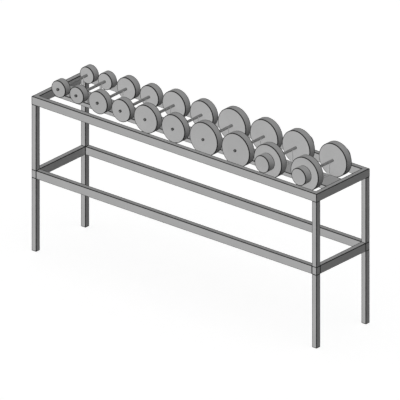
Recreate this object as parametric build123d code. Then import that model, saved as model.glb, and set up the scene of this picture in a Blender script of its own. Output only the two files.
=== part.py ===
from build123d import *
import os

# Dumbbell rack with its set of ten fixed-weight dumbbells.
# Millimetres. +X runs along the rack, +Y towards the rear, +Z up.
# The origin is on the floor, under the middle of the rack.
#
# The upper ring is four mitred tubes. Four upper legs hang from plugs under its
# corners. A lower ring, at mid height, has a hollow block at each corner with the
# rails butted against it. Sleeves pass through the blocks and join the upper legs
# to the lower legs. A shallow box-section deck runs down the middle of the upper
# ring. It carries a saddle for each dumbbell, and the plates hang in the two slots
# between the deck and the long rails.

# Frame
rack_length = 2000.0
rack_depth = 445.0
rack_height = 910.0        # floor to the top of the upper ring
tube_width = 32.0          # square legs, and the width of every rail
rail_height = 48.0
tube_wall = 2.5
tube_corner = 2.0          # outside corner radius of every tube
lower_ring_height = 455.0  # floor to the middle of the lower ring

# Plugs and sleeves inside the frame joints
socket_clearance = 0.3     # all round, between a plug or sleeve and its tube
sleeve_wall = 4.0
sleeve_grip = 45.0         # how far a plug or sleeve reaches into a leg
foot_flange = 3.0
foot_stem = 25.0
foot_chamfer = 1.0

# Deck
deck_width = 130.0
deck_thickness = 24.0
deck_wall = 3.0
deck_stub_length = 50.0    # block on the side rail that fills the deck's end

# Saddles
saddle_thickness = 3.0
saddle_inset = 2.5         # upright's outer face to the deck's edge
saddle_foot_width = 22.0
saddle_foot_rise = 8.0     # height up to which the upright keeps the foot's width
saddle_neck_width = 14.0
saddle_head_wall = 3.7
saddle_lip = 2.0           # prongs above the bar's axis
saddle_bend = 2.0          # inside radius of the two bends
cradle_clearance = 0.3     # bar to saddle, all round

# Fasteners
screw_radius = 3.0
screw_head_radius = 5.25
screw_head_height = 3.3
screw_hole_clearance = 0.3
thread_clearance = 0.02
screw_reach = 3.0          # how far a screw passes the wall it is threaded in
saddle_screw_offset = 30.0
deck_screw_offset = 40.0
set_screw_radius = 4.0
set_screw_recess = 0.3     # below the leg's face
socket_radius = 2.0
socket_depth = 2.0

# Dumbbells: one entry for each pair, from the lightest to the heaviest
plate_diameters = [98.0, 131.0, 163.0, 195.0, 195.0]
pairs_with_end_discs = [4]
plate_thickness = 44.0
plate_edge = 1.5
grip_length = 193.0        # between the inner faces of a dumbbell's two plates
bar_radius = 8.0
bar_chamfer = 1.0
bar_stub = 10.0            # bar past the outer face of a plain plate
bar_in_disc = 30.0         # bar inside an end disc
press_fit = 0.02           # bore smaller than the bar, on the radius
end_disc_diameter = 101.0
end_disc_thickness = 49.0
bar_rise = 47.0            # bar's axis above the upper ring

# Spacing along the rack
left_margin = 39.0         # left rail to the first plate
right_margin = 24.0        # last plate to the right rail
gap_shares = [29, 35, 30, 26, 31, 34, 30, 30, 63]  # how the gaps share the free length

# Derived places
half_length = rack_length / 2
half_depth = rack_depth / 2
leg_x = half_length - tube_width / 2
leg_y = half_depth - tube_width / 2
inner_length = rack_length - 2 * tube_width
inner_depth = rack_depth - 2 * tube_width
upper_ring_bottom = rack_height - rail_height
lower_ring_top = lower_ring_height + rail_height / 2
lower_ring_bottom = lower_ring_height - rail_height / 2
tube_bore = tube_width - 2 * tube_wall
sleeve_width = tube_bore - 2 * socket_clearance
deck_top = upper_ring_bottom + deck_thickness
bar_height = rack_height + bar_rise
plate_outer = grip_length / 2 + plate_thickness
saddle_outer = deck_width / 2 - saddle_inset

corners = {
    "front_left": (-1, -1),
    "front_right": (1, -1),
    "back_left": (-1, 1),
    "back_right": (1, 1),
}


def tube_section(width, height, wall):
    return RectangleRounded(width, height, tube_corner) - Rectangle(width - 2 * wall, height - 2 * wall)


def tube_along_x(length, width, height, wall):
    return extrude(Plane.YZ * tube_section(width, height, wall), amount=length / 2, both=True)


def tube_along_y(length, width, height, wall):
    return extrude(Plane.XZ * tube_section(width, height, wall), amount=length / 2, both=True)


def leg_tube(bottom, top):
    return Pos(0, 0, bottom) * extrude(tube_section(tube_width, tube_width, tube_wall), amount=top - bottom)


def rear_hole(radius, height):
    """Cylinder from a leg's middle out through its rear wall."""
    return Pos(0, tube_width / 2, height) * Rot(90, 0, 0) * Cylinder(radius, tube_width)


def mitre_prism(along, side):
    """Plan outline of one upper rail, cut at 45 degrees at both ends."""
    edge = half_depth if along == "x" else half_length
    reach = half_length if along == "x" else half_depth
    outline = [
        (-reach, side * edge),
        (reach, side * edge),
        (reach - tube_width, side * (edge - tube_width)),
        (-reach + tube_width, side * (edge - tube_width)),
    ]
    if along == "y":
        outline = [(v, u) for u, v in outline]
    face = make_face(Polyline(*outline, close=True))
    return Pos(0, 0, upper_ring_bottom - 1) * extrude(face, amount=rail_height + 2, dir=(0, 0, 1))


def upper_long_rail(side):
    rail = tube_along_x(rack_length, tube_width, rail_height, tube_wall)
    rail = Pos(0, side * leg_y, rack_height - rail_height / 2) * rail
    return rail & mitre_prism("x", side)


def upper_side_rail(side):
    rail = tube_along_y(rack_depth, tube_width, rail_height, tube_wall)
    rail = Pos(side * leg_x, 0, rack_height - rail_height / 2) * rail
    return rail & mitre_prism("y", side)


def lower_long_rail(side):
    return Pos(0, side * leg_y, lower_ring_height) * tube_along_x(
        inner_length, tube_width, rail_height, tube_wall
    )


def lower_side_rail(side):
    return Pos(side * leg_x, 0, lower_ring_height) * tube_along_y(
        inner_depth, tube_width, rail_height, tube_wall
    )


def upper_leg():
    leg = leg_tube(lower_ring_top, upper_ring_bottom)
    for height in upper_leg_screw_heights():
        leg -= rear_hole(set_screw_radius + thread_clearance, height)
    return leg


def corner_block():
    return leg_tube(lower_ring_bottom, lower_ring_top)


def lower_leg():
    leg = leg_tube(foot_flange, lower_ring_bottom)
    for height in lower_leg_screw_heights():
        leg -= rear_hole(set_screw_radius + thread_clearance, height)
    return leg


def upper_leg_screw_heights():
    return [upper_ring_bottom - sleeve_grip / 2, lower_ring_top + sleeve_grip / 2]


def lower_leg_screw_heights():
    return [lower_ring_bottom - sleeve_grip / 2]


def sleeve_tube(bottom, top):
    section = Rectangle(sleeve_width, sleeve_width)
    section -= Rectangle(sleeve_width - 2 * sleeve_wall, sleeve_width - 2 * sleeve_wall)
    sleeve = Pos(0, 0, bottom) * extrude(section, amount=top - bottom)
    for height in upper_leg_screw_heights() + lower_leg_screw_heights():
        if bottom < height < top:
            sleeve -= rear_hole(set_screw_radius + thread_clearance, height)
    return sleeve


def leg_plug():
    """Tube welded under a corner of the upper ring, inside the leg's top."""
    return sleeve_tube(upper_ring_bottom - sleeve_grip, upper_ring_bottom)


def leg_sleeve():
    """Tube through a corner block, inside both legs."""
    return sleeve_tube(lower_ring_bottom - sleeve_grip, lower_ring_top + sleeve_grip)


def foot_plug():
    flange = extrude(RectangleRounded(tube_width, tube_width, tube_corner), amount=foot_flange)
    flange = chamfer(flange.faces().sort_by(Axis.Z)[0].edges(), foot_chamfer)
    stem = Rectangle(sleeve_width, sleeve_width)
    stem -= Rectangle(sleeve_width - 2 * sleeve_wall, sleeve_width - 2 * sleeve_wall)
    return flange + Pos(0, 0, foot_flange) * extrude(stem, amount=foot_stem)


def hex_socket():
    return Pos(0, 0, -socket_depth) * extrude(RegularPolygon(socket_radius, 6), amount=socket_depth)


def set_screw():
    """Headless screw along +Z, its outer end at z = 0."""
    length = tube_wall - set_screw_recess + socket_clearance + sleeve_wall
    body = Pos(0, 0, -length / 2) * Cylinder(set_screw_radius, length)
    return body - hex_socket()


def leg_screws():
    screws = []
    for side_x, side_y in corners.values():
        for height in upper_leg_screw_heights() + lower_leg_screw_heights():
            face_y = side_y * leg_y + tube_width / 2 - set_screw_recess
            screws.append(Pos(side_x * leg_x, face_y, height) * Rot(-90, 0, 0) * set_screw())
    return screws


def button_screw(clamped, threaded):
    """Domed screw along +Z, head seated at z = 0, shank below."""
    head = Cylinder(screw_head_radius, screw_head_height, align=(Align.CENTER, Align.CENTER, Align.MIN))
    head = fillet(head.faces().sort_by(Axis.Z)[-1].edges(), screw_head_height * 0.6)
    head -= Pos(0, 0, screw_head_height) * hex_socket()
    length = clamped + threaded + screw_reach
    return head + Pos(0, 0, -length / 2) * Cylinder(screw_radius, length)


def deck_screw_places():
    return [
        (end * (inner_length / 2 - deck_stub_length / 2), side * deck_screw_offset)
        for end in (-1, 1)
        for side in (-1, 1)
    ]


def saddle_screw_places():
    return [(x, side * saddle_screw_offset) for x in dumbbell_places() for side in (-1, 1)]


def deck():
    board = tube_along_x(inner_length, deck_width, deck_thickness, deck_wall)
    board = Pos(0, 0, deck_top - deck_thickness / 2) * board
    for x, y in deck_screw_places():
        hole = Cylinder(screw_radius + screw_hole_clearance, 2 * deck_wall)
        board -= Pos(x, y, upper_ring_bottom) * hole
    for x, y in saddle_screw_places():
        board -= Pos(x, y, deck_top) * Cylinder(screw_radius + thread_clearance, 2 * deck_wall)
    return board


def deck_stubs():
    """Blocks welded to the side rails, inside the deck's two ends."""
    width = deck_width - 2 * (deck_wall + socket_clearance)
    height = deck_thickness - 2 * (deck_wall + socket_clearance)
    stubs = []
    for end in (-1, 1):
        x = end * (inner_length / 2 - deck_stub_length / 2)
        stub = Pos(x, 0, deck_top - deck_thickness / 2) * Box(deck_stub_length, width, height)
        for screw_x, screw_y in deck_screw_places():
            hole = Cylinder(screw_radius + thread_clearance, 2 * deck_thickness)
            stub -= Pos(screw_x, screw_y, upper_ring_bottom) * hole
        stubs.append(stub)
    return stubs


def deck_screws():
    screw = button_screw(deck_wall + socket_clearance, deck_wall)
    return [Pos(x, y, upper_ring_bottom) * Rot(180, 0, 0) * screw for x, y in deck_screw_places()]


def saddle_screws():
    screw = button_screw(saddle_thickness, deck_wall)
    return [Pos(x, y, deck_top + saddle_thickness) * screw for x, y in saddle_screw_places()]


def saddle():
    """Bent strip with two forked uprights, its foot at z = 0 and the bar along Y."""
    axis_height = bar_height - deck_top
    cradle_radius = bar_radius + cradle_clearance
    top = axis_height + saddle_lip
    up = Align.MIN
    outer = Rectangle(2 * saddle_outer, top, align=(Align.CENTER, up))
    outer = fillet(outer.vertices().group_by(Axis.Y)[0], saddle_bend + saddle_thickness)
    inner = Rectangle(2 * (saddle_outer - saddle_thickness), top, align=(Align.CENTER, up))
    inner = Pos(0, saddle_thickness) * fillet(inner.vertices().group_by(Axis.Y)[0], saddle_bend)
    strip = extrude(Plane.YZ * (outer - inner), amount=saddle_foot_width, both=True)

    outline = Rectangle(saddle_foot_width, saddle_foot_rise, align=(Align.CENTER, up))
    outline += Rectangle(saddle_neck_width, axis_height, align=(Align.CENTER, up))
    outline += Pos(0, axis_height) * Circle(cradle_radius + saddle_head_wall)
    outline -= Pos(0, axis_height) * Circle(cradle_radius)
    outline -= Pos(0, axis_height) * Rectangle(2 * cradle_radius, axis_height, align=(Align.CENTER, up))
    bracket = strip & extrude(Plane.XZ * outline, amount=saddle_outer, both=True)
    for side in (-1, 1):
        hole = Cylinder(screw_radius + screw_hole_clearance, 3 * saddle_thickness)
        bracket -= Pos(0, side * saddle_screw_offset, 0) * hole
    return bracket


def dumbbell_diameters():
    return [diameter for diameter in plate_diameters for _ in range(2)]


def has_end_discs(index):
    return index // 2 in pairs_with_end_discs


def dumbbell_places():
    """Middle of each dumbbell along X."""
    diameters = dumbbell_diameters()
    free = inner_length - left_margin - right_margin - sum(diameters)
    places = [-inner_length / 2 + left_margin + diameters[0] / 2]
    for share, left, right in zip(gap_shares, diameters, diameters[1:]):
        gap = free * share / sum(gap_shares)
        places.append(places[-1] + left / 2 + gap + right / 2)
    return places


def cylinder_along_y(radius, length):
    return Rot(90, 0, 0) * Cylinder(radius, length)


def bar(with_end_discs):
    reach = bar_in_disc if with_end_discs else bar_stub
    rod = cylinder_along_y(bar_radius, 2 * (plate_outer + reach))
    return chamfer(rod.edges().filter_by(GeomType.CIRCLE), bar_chamfer)


def pressed_disc(diameter, thickness, bore_depth):
    """Disc on the Y axis from y = 0 to its thickness, bored from y = 0."""
    disc = Pos(0, thickness / 2, 0) * cylinder_along_y(diameter / 2, thickness)
    disc = fillet(disc.edges().filter_by(GeomType.CIRCLE), plate_edge)
    bore = cylinder_along_y(bar_radius - press_fit, 2 * bore_depth)
    return disc - bore


def facing_pair(disc, inner_face):
    """The same disc at both ends of a dumbbell, its bore towards the middle."""
    rear = Pos(0, inner_face, 0) * disc
    return [rear, Rot(0, 0, 180) * rear]


def plates(diameter):
    return facing_pair(pressed_disc(diameter, plate_thickness, 2 * plate_thickness), grip_length / 2)


def end_discs():
    return facing_pair(pressed_disc(end_disc_diameter, end_disc_thickness, bar_in_disc), plate_outer)


def at_corners(piece):
    return [Pos(side_x * leg_x, side_y * leg_y, 0) * piece for side_x, side_y in corners.values()]


def frame_nodes():
    nodes = {
        "upper_front_rail": [upper_long_rail(-1)],
        "upper_back_rail": [upper_long_rail(1)],
        "upper_left_rail": [upper_side_rail(-1)],
        "upper_right_rail": [upper_side_rail(1)],
        "lower_front_rail": [lower_long_rail(-1)],
        "lower_back_rail": [lower_long_rail(1)],
        "lower_left_rail": [lower_side_rail(-1)],
        "lower_right_rail": [lower_side_rail(1)],
    }
    for name, piece in (("upper_leg", upper_leg()), ("corner_block", corner_block()), ("lower_leg", lower_leg())):
        for corner, placed in zip(corners, at_corners(piece)):
            nodes[f"{corner}_{name}"] = [placed]
    nodes["leg_plugs"] = at_corners(leg_plug())
    nodes["leg_sleeves"] = at_corners(leg_sleeve())
    nodes["foot_plugs"] = at_corners(foot_plug())
    nodes["leg_set_screws"] = leg_screws()
    return nodes


def deck_nodes():
    bracket = saddle()
    return {
        "deck": [deck()],
        "deck_stubs": deck_stubs(),
        "deck_screws": deck_screws(),
        "saddles": [Pos(x, 0, deck_top) * bracket for x in dumbbell_places()],
        "saddle_screws": saddle_screws(),
    }


def dumbbell_nodes():
    nodes = {}
    for index, (x, diameter) in enumerate(zip(dumbbell_places(), dumbbell_diameters())):
        place = Pos(x, 0, bar_height)
        number = index + 1
        nodes[f"handle_{number}"] = [place * bar(has_end_discs(index))]
        nodes[f"plates_{number}"] = [place * disc for disc in plates(diameter)]
        if has_end_discs(index):
            nodes[f"end_discs_{number}"] = [place * disc for disc in end_discs()]
    return nodes


os.makedirs("parts", exist_ok=True)
for node_name, solids in (frame_nodes() | deck_nodes() | dumbbell_nodes()).items():
    shape = solids[0] if len(solids) == 1 else Compound(children=solids)
    export_step(shape, f"parts/{node_name}.step")
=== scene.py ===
"""Looks of the dumbbell rack: materials, floor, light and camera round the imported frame. Metres."""

import math
from functools import partial

import bmesh
import bpy
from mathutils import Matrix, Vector


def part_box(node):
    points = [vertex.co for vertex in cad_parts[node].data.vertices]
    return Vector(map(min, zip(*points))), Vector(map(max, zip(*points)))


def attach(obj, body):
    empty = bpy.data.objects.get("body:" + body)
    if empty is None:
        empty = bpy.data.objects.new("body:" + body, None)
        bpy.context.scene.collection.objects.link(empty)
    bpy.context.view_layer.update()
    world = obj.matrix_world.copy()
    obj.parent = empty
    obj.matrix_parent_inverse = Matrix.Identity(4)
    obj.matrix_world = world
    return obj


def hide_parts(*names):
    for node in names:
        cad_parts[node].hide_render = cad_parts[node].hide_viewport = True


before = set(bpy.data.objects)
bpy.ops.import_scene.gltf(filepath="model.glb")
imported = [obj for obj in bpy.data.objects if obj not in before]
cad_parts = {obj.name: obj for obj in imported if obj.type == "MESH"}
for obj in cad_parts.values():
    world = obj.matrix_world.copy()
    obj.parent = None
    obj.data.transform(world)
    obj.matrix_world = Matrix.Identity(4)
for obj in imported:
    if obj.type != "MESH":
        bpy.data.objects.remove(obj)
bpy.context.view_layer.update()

# Camera: parallel projection, from the right of the front and above
VIEW_AZIMUTH = 40.0
VIEW_ELEVATION = 24.29
VIEW_WIDTH = 2.1505
VIEW_AIM = (-0.0025, -0.0021, 0.5104)
VIEW_DISTANCE = 8.0
VIEW_REACH = 60.0

# Light: a broad key light from the front, a little to the right, a weaker one from behind on the left and
# a little below the horizon, both without shadows, and a dome that fills from all round
KEY_FROM = (0.193, -0.893, 0.406)
KEY_STRENGTH = 3.66
BACK_FROM = (-0.25, 0.957, -0.15)
BACK_STRENGTH = 1.5
LIGHT_SPREAD = 0.6
DOME_STRENGTH = 0.32
DOME_FOOT = -0.5          # height on the unit sphere below which the dome is dark

# Floor
FLOOR_SIZE = 40.0
FLOOR_GREY = 0.86
FLOOR_GLOW = 0.39        # its own light, which keeps it as white as what is round it
FLOOR_ROUGHNESS = 0.9

# Greys, as linear reflectance
COAT_GREY = 0.33
COAT_SHEEN = 0.1         # low, so that tops seen from the back do not burn out in the key light
EDGE_GREY = 0.02
BAR_GREY = 0.18
SCREW_GREY = 0.30
FOOT_GREY = 0.16

# Roughness, lowest and highest
COAT_ROUGHNESS = (0.62, 0.74)
STEEL_ROUGHNESS = (0.38, 0.55)
FOOT_ROUGHNESS = (0.5, 0.65)

# How metallic the steels are
SMALL_PART_METAL = 0.8
BAR_METAL = 0.2

# Noise scales, in cells a metre
CLOUD_SCALE = 6.0        # broad drift in the coat
MOTTLE_SCALE = 140.0     # fine change in the coat's tone and roughness
PEEL_SCALE = 900.0       # the tubes' orange peel
CAST_SCALE = 420.0       # the plates' coarser skin
WANDER_SCALE = 90.0
RING_SCALE = 1400.0      # turning marks
STAIN_SCALE = 45.0
SPECKLE_SCALE = 700.0    # moulded plastic
PAPER_SCALE = 3.0        # floor

# How deep the bumps are
PEEL_DEPTH = 0.00025
CAST_DEPTH = 0.0004
FINE_DEPTH = 0.0002      # turning marks and moulded plastic

# The part of a noise's range that its ramps use
NOISE_LOW = 0.3
NOISE_HIGH = 0.7

# Dark line along every edge
EDGE_WIDTH = 0.0041
EDGE_CORE = 0.85         # of its width, fully dark before it fades out
EDGE_WANDER = 0.0003     # how far its border strays either way
FACE_BAND = 0.9          # a disc's edge band is wider than the tubes', on its face and on its rim
RIM_BAND = 0.78
BUTT_SHARE = 0.45        # of the edge band's width, left on a leg's end where it meets a rail or block
TOP_SHARE = 0.68         # how much a rail's width counts, which widens the band on its top
SIDE_SHARE = 1.28        # how much a rail's height counts, which narrows the band on its sides

# Handles: a diamond knurl between the saddle's uprights, cut into the bar's round
KNURL_HALF_LENGTH = 0.050
KNURL_PITCH = 0.0025
KNURL_DEPTH = 0.0004
KNURL_STARTS = 20
BAR_CHAMFER = 0.001


# ---------------------------------------------------------------- node helpers


def add(tree, kind, inputs=None, **settings):
    """A new node with its settings made and its inputs set or linked."""
    node = tree.nodes.new(kind)
    for key, value in settings.items():
        setattr(node, key, value)
    for key, value in (inputs or {}).items():
        if isinstance(value, bpy.types.NodeSocket):
            tree.links.new(value, node.inputs[key])
        else:
            node.inputs[key].default_value = value
    return node


def maths(tree, operation, *values):
    return add(tree, "ShaderNodeMath", dict(enumerate(values)), operation=operation).outputs[0]


def vector_maths(tree, operation, *values):
    return add(tree, "ShaderNodeVectorMath", dict(enumerate(values)), operation=operation)


def noise(tree, point, scale, detail=3.0, roughness=0.5):
    inputs = {"Vector": point, "Scale": scale, "Detail": detail, "Roughness": roughness}
    return add(tree, "ShaderNodeTexNoise", inputs).outputs["Fac"]


def ramp(tree, value, low, high, out_low=0.0, out_high=1.0, smooth=False):
    inputs = {"Value": value, "From Min": low, "From Max": high, "To Min": out_low, "To Max": out_high}
    kind = "SMOOTHSTEP" if smooth else "LINEAR"
    return add(tree, "ShaderNodeMapRange", inputs, interpolation_type=kind).outputs["Result"]


def blend_colour(tree, share, first, second):
    mix = add(tree, "ShaderNodeMix", data_type="RGBA")
    for socket, value in ((mix.inputs[0], share), (mix.inputs[6], first), (mix.inputs[7], second)):
        if isinstance(value, bpy.types.NodeSocket):
            tree.links.new(value, socket)
        else:
            socket.default_value = value
    return mix.outputs[2]


def grey(value):
    return (value, value, value, 1.0)


def new_material(name):
    """An empty material with its tree, its surface shader and the object's own coordinates."""
    material = bpy.data.materials.new(name)
    material.use_nodes = True
    tree = material.node_tree
    tree.nodes.clear()
    output = add(tree, "ShaderNodeOutputMaterial")
    shader = add(tree, "ShaderNodeBsdfPrincipled")
    tree.links.new(shader.outputs[0], output.inputs[0])
    point = add(tree, "ShaderNodeTexCoord").outputs["Object"]
    return material, tree, shader, point


# ---------------------------------------------------------------- distance to the nearest edge


def box_edge_distance(tree, point, low, high, stretch):
    """On the surface of a box, how far the nearest edge is: the middle of the three distances."""
    from_low = vector_maths(tree, "SUBTRACT", point, tuple(low)).outputs[0]
    to_high = vector_maths(tree, "SUBTRACT", tuple(high), point).outputs[0]
    nearest = vector_maths(tree, "MINIMUM", from_low, to_high).outputs[0]
    scaled = vector_maths(tree, "MULTIPLY", nearest, stretch).outputs[0]
    x, y, z = add(tree, "ShaderNodeSeparateXYZ", {0: scaled}).outputs
    smaller = maths(tree, "MINIMUM", x, y)
    larger = maths(tree, "MAXIMUM", x, y)
    return maths(tree, "MAXIMUM", smaller, maths(tree, "MINIMUM", larger, z))


def disc_edge_distance(tree, point, low, high, inner_face):
    """On two equal discs that face each other along Y, how far the nearest rim edge is."""
    centre = (Vector(low) + Vector(high)) / 2
    radius = (high[0] - low[0]) / 2
    outer_face = high[1]
    offset = vector_maths(tree, "SUBTRACT", point, tuple(centre)).outputs[0]
    across = vector_maths(tree, "MULTIPLY", offset, (1, 0, 1)).outputs[0]
    to_rim = maths(tree, "SUBTRACT", radius, vector_maths(tree, "LENGTH", across).outputs["Value"])
    along = maths(tree, "ABSOLUTE", add(tree, "ShaderNodeSeparateXYZ", {0: offset}).outputs[1])
    middle = (inner_face + outer_face) / 2 - centre[1]
    from_middle = maths(tree, "ABSOLUTE", maths(tree, "SUBTRACT", along, middle))
    to_face = maths(tree, "SUBTRACT", (outer_face - inner_face) / 2, from_middle)
    scaled = maths(tree, "MULTIPLY", to_rim, FACE_BAND), maths(tree, "MULTIPLY", to_face, RIM_BAND)
    return maths(tree, "MAXIMUM", *scaled)


# ---------------------------------------------------------------- materials


def edge_mask(tree, point, distance):
    """1 on the dark line along the edges, fading out at EDGE_WIDTH."""
    wander = ramp(tree, noise(tree, point, WANDER_SCALE), NOISE_LOW, NOISE_HIGH, -EDGE_WANDER, EDGE_WANDER)
    edge = maths(tree, "ADD", distance, wander)
    return ramp(tree, edge, EDGE_WIDTH * EDGE_CORE, EDGE_WIDTH, 1.0, 0.0, smooth=True)


def coat(name, distance_of, grain=PEEL_SCALE, depth=PEEL_DEPTH):
    """Dull grey powder coat with a fine orange peel, and a dark line where distance_of finds edges."""
    material, tree, shader, point = new_material(name)
    broad = noise(tree, point, CLOUD_SCALE)
    fine = noise(tree, point, MOTTLE_SCALE)
    tone = maths(tree, "ADD", maths(tree, "MULTIPLY", broad, 0.7), maths(tree, "MULTIPLY", fine, 0.3))
    mottle = ramp(tree, tone, NOISE_LOW, NOISE_HIGH)
    surface = blend_colour(tree, mottle, grey(COAT_GREY * 0.95), grey(COAT_GREY * 1.05))
    rough = ramp(tree, fine, NOISE_LOW, NOISE_HIGH, *COAT_ROUGHNESS)
    if distance_of is not None:
        line = edge_mask(tree, point, distance_of(tree, point))
        surface = blend_colour(tree, line, surface, grey(EDGE_GREY))
    tree.links.new(surface, shader.inputs["Base Color"])
    tree.links.new(rough, shader.inputs["Roughness"])
    shader.inputs["Specular IOR Level"].default_value = COAT_SHEEN
    peel = noise(tree, point, grain, detail=1.0)
    bump = add(tree, "ShaderNodeBump", {"Height": peel, "Distance": depth, "Strength": 0.4})
    tree.links.new(bump.outputs[0], shader.inputs["Normal"])
    return material


def turned_steel(name, colour, metallic, distance_of=None):
    """Dull turned steel with fine rings across the bar."""
    material, tree, shader, point = new_material(name)
    drawn_out = vector_maths(tree, "MULTIPLY", point, (0.05, 1, 0.05)).outputs[0]
    rings = noise(tree, drawn_out, RING_SCALE, detail=2.0)
    stain = noise(tree, point, STAIN_SCALE)
    surface = blend_colour(tree, ramp(tree, stain, 0.35, 0.65), grey(colour * 0.94), grey(colour * 1.06))
    if distance_of is not None:
        line = edge_mask(tree, point, distance_of(tree, point))
        surface = blend_colour(tree, line, surface, grey(EDGE_GREY))
    tree.links.new(surface, shader.inputs["Base Color"])
    rough = ramp(tree, stain, NOISE_LOW, NOISE_HIGH, *STEEL_ROUGHNESS)
    tree.links.new(rough, shader.inputs["Roughness"])
    shader.inputs["Metallic"].default_value = metallic
    bump = add(tree, "ShaderNodeBump", {"Height": rings, "Distance": FINE_DEPTH, "Strength": 0.5})
    tree.links.new(bump.outputs[0], shader.inputs["Normal"])
    return material


def moulded(name):
    """Moulded grey plastic with a fine spark texture."""
    material, tree, shader, point = new_material(name)
    speckle = noise(tree, point, SPECKLE_SCALE)
    tone = ramp(tree, speckle, NOISE_LOW, NOISE_HIGH)
    surface = blend_colour(tree, tone, grey(FOOT_GREY * 0.92), grey(FOOT_GREY * 1.08))
    tree.links.new(surface, shader.inputs["Base Color"])
    rough = ramp(tree, speckle, NOISE_LOW, NOISE_HIGH, *FOOT_ROUGHNESS)
    tree.links.new(rough, shader.inputs["Roughness"])
    bump = add(tree, "ShaderNodeBump", {"Height": speckle, "Distance": FINE_DEPTH, "Strength": 0.5})
    tree.links.new(bump.outputs[0], shader.inputs["Normal"])
    return material


def paint(node, material):
    node.data.materials.clear()
    node.data.materials.append(material)
    for polygon in node.data.polygons:
        polygon.material_index = 0


def nearest_face_to_middle(node):
    """How far from the rack's middle plane a dumbbell's discs begin."""
    return min(abs(vertex.co.y) for vertex in node.data.vertices)


def edge_stretch(name):
    """How much each axis counts in the distance to a tube's edges: a rail's top has the wider band."""
    if name.endswith("leg"):
        return (1, 1, 1 / BUTT_SHARE)
    if name.endswith(("left_rail", "right_rail")):
        return (TOP_SHARE, 1, SIDE_SHARE)
    if name.endswith(("rail", "deck")):
        return (1, TOP_SHARE, SIDE_SHARE)
    return (1, 1, 1)


def paint_frame():
    tubes = ("rail", "leg", "corner_block", "deck")
    for name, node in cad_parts.items():
        if name.endswith(tubes):
            low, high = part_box(name)
            distance = partial(box_edge_distance, low=low, high=high, stretch=edge_stretch(name))
            paint(node, coat(f"coat_{name}", distance))


def paint_discs():
    for name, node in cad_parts.items():
        if name.startswith(("plates_", "end_discs_")):
            low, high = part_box(name)
            inner_face = nearest_face_to_middle(node)
            distance = partial(disc_edge_distance, low=low, high=high, inner_face=inner_face)
            paint(node, coat(f"enamel_{name}", distance, grain=CAST_SCALE, depth=CAST_DEPTH))


def paint_small_parts():
    screw = turned_steel("screw_steel", SCREW_GREY, SMALL_PART_METAL)
    inner = turned_steel("mill_steel", SCREW_GREY, SMALL_PART_METAL)
    saddle = coat("saddle_coat", None)
    foot = moulded("foot_plastic")
    for name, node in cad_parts.items():
        if name.endswith("screws"):
            paint(node, screw)
        elif name in ("leg_plugs", "leg_sleeves", "deck_stubs"):
            paint(node, inner)
        elif name == "saddles":
            paint(node, saddle)
        elif name == "foot_plugs":
            paint(node, foot)


# ---------------------------------------------------------------- handles


def bar_rows(radius, half_length):
    """The bar's rings from end to end: place along Y, radius on even and on odd corners, knurled or not."""
    cells = round(2 * KNURL_HALF_LENGTH / (KNURL_PITCH / 2))
    root = radius - KNURL_DEPTH
    shoulder = KNURL_HALF_LENGTH + KNURL_DEPTH
    rows = [(-half_length, radius - BAR_CHAMFER, False), (-half_length + BAR_CHAMFER, radius, False)]
    rows.append((-shoulder, radius, False))
    for index in range(cells + 1):
        rows.append((-KNURL_HALF_LENGTH + index * KNURL_PITCH / 2, root, 0 < index < cells))
    rows.append((shoulder, radius, False))
    rows += [(half_length - BAR_CHAMFER, radius, False), (half_length, radius - BAR_CHAMFER, False)]
    return rows


def knurled_bar(name, low, high):
    """Bar along Y with a field of raised diamonds: peaks on odd corners, grooves through even ones."""
    centre = (Vector(low) + Vector(high)) / 2
    radius = (high[0] - low[0]) / 2
    rows = bar_rows(radius, (high[1] - low[1]) / 2)
    around = 2 * KNURL_STARTS
    mesh = bpy.data.meshes.new(name)
    build = bmesh.new()
    rings = []
    for row, (along, ring_radius, knurled) in enumerate(rows):
        ring = []
        for corner in range(around):
            peak = knurled and (row + corner) % 2
            reach = radius if peak else ring_radius
            turn = 2 * math.pi * corner / around
            place = (reach * math.cos(turn), along, reach * math.sin(turn))
            ring.append(build.verts.new(centre + Vector(place)))
        rings.append(ring)
    for row, (ring, following) in enumerate(zip(rings, rings[1:])):
        knurled = rows[row][2] or rows[row + 1][2]
        chamfer = row in (0, len(rings) - 2)
        for corner in range(around):
            after = (corner + 1) % around
            a, b, c, d = ring[corner], following[corner], following[after], ring[after]
            if not knurled:
                faces = [(a, b, c, d)]
            elif (row + corner) % 2:
                faces = [(a, b, d), (b, c, d)]
            else:
                faces = [(a, b, c), (a, c, d)]
            for corners in faces:
                build.faces.new(corners).smooth = not (knurled or chamfer)
    build.faces.new(rings[0])
    build.faces.new(list(reversed(rings[-1])))
    bmesh.ops.recalc_face_normals(build, faces=build.faces)
    build.to_mesh(mesh)
    build.free()
    bar = bpy.data.objects.new(name, mesh)
    bpy.context.scene.collection.objects.link(bar)
    return bar


def make_handles():
    handles = [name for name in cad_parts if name.startswith("handle_")]
    for name in handles:
        number = name.removeprefix("handle_")
        low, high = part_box(name)
        bar = knurled_bar(f"knurled_bar_{number}", low, high)
        distance = partial(disc_edge_distance, low=low, high=high, inner_face=low[1])
        bar.data.materials.append(turned_steel(f"bar_steel_{number}", BAR_GREY, BAR_METAL, distance))
        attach(bar, f"dumbbell_{number}")
        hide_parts(name)


# ---------------------------------------------------------------- camera, light and floor


def back_vector(azimuth, elevation):
    a, e = math.radians(azimuth), math.radians(elevation)
    return Vector((math.sin(a) * math.cos(e), -math.cos(a) * math.cos(e), math.sin(e)))


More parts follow.
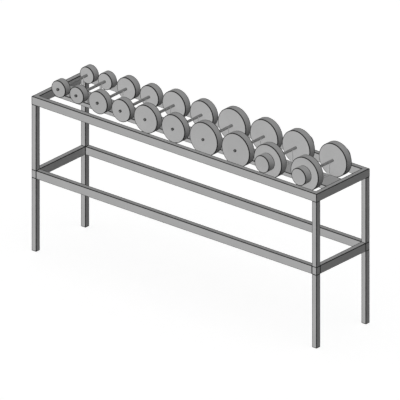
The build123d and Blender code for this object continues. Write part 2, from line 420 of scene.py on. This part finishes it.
def make_camera():
    data = bpy.data.cameras.new("camera")
    data.type = "ORTHO"
    data.ortho_scale = VIEW_WIDTH
    data.clip_end = VIEW_REACH
    camera = bpy.data.objects.new("camera", data)
    back = back_vector(VIEW_AZIMUTH, VIEW_ELEVATION)
    camera.location = Vector(VIEW_AIM) + back * VIEW_DISTANCE
    camera.rotation_euler = (-back).to_track_quat("-Z", "Y").to_euler()
    bpy.context.scene.collection.objects.link(camera)
    bpy.context.scene.camera = camera


def make_sun(name, source, strength):
    """A wide sun that throws no shadows, so that every face of one direction has one tone."""
    data = bpy.data.lights.new(name, "SUN")
    data.energy = strength
    data.angle = LIGHT_SPREAD
    data.use_shadow = False
    sun = bpy.data.objects.new(name, data)
    sun.rotation_euler = (-Vector(source)).to_track_quat("-Z", "Y").to_euler()
    bpy.context.scene.collection.objects.link(sun)


def make_dome():
    """World light, full overhead and fading to nothing well below the horizon. The camera sees it white."""
    world = bpy.data.worlds.new("dome")
    world.use_nodes = True
    tree = world.node_tree
    tree.nodes.clear()
    way = add(tree, "ShaderNodeTexCoord").outputs["Generated"]
    height = add(tree, "ShaderNodeSeparateXYZ", {0: way}).outputs[2]
    strength = ramp(tree, height, DOME_FOOT, 1.0, 0.0, DOME_STRENGTH)
    light = add(tree, "ShaderNodeBackground", {"Color": grey(1.0), "Strength": strength})
    seen = add(tree, "ShaderNodeBackground", {"Color": grey(1.0), "Strength": 1.0})
    camera_ray = add(tree, "ShaderNodeLightPath").outputs["Is Camera Ray"]
    mix = add(tree, "ShaderNodeMixShader", {0: camera_ray, 1: light.outputs[0], 2: seen.outputs[0]})
    output = add(tree, "ShaderNodeOutputWorld")
    tree.links.new(mix.outputs[0], output.inputs[0])
    bpy.context.scene.world = world


def make_floor():
    half = FLOOR_SIZE / 2
    mesh = bpy.data.meshes.new("floor")
    corners = [(-half, -half, 0), (half, -half, 0), (half, half, 0), (-half, half, 0)]
    mesh.from_pydata(corners, [], [(0, 1, 2, 3)])
    floor = bpy.data.objects.new("floor", mesh)
    bpy.context.scene.collection.objects.link(floor)
    material, tree, shader, point = new_material("floor_paper")
    tint = noise(tree, point, PAPER_SCALE)
    surface = blend_colour(tree, tint, grey(FLOOR_GREY * 0.99), grey(FLOOR_GREY))
    tree.links.new(surface, shader.inputs["Base Color"])
    shader.inputs["Roughness"].default_value = FLOOR_ROUGHNESS
    shader.inputs["Specular IOR Level"].default_value = 0.0
    shader.inputs["Emission Color"].default_value = grey(1.0)
    shader.inputs["Emission Strength"].default_value = FLOOR_GLOW
    mesh.materials.append(material)
    floor.visible_diffuse = False
    floor.visible_glossy = False


make_camera()
make_sun("key", KEY_FROM, KEY_STRENGTH)
make_sun("back", BACK_FROM, BACK_STRENGTH)
make_dome()
make_floor()
paint_frame()
paint_discs()
paint_small_parts()
make_handles()
bpy.context.scene.view_settings.view_transform = "Standard"
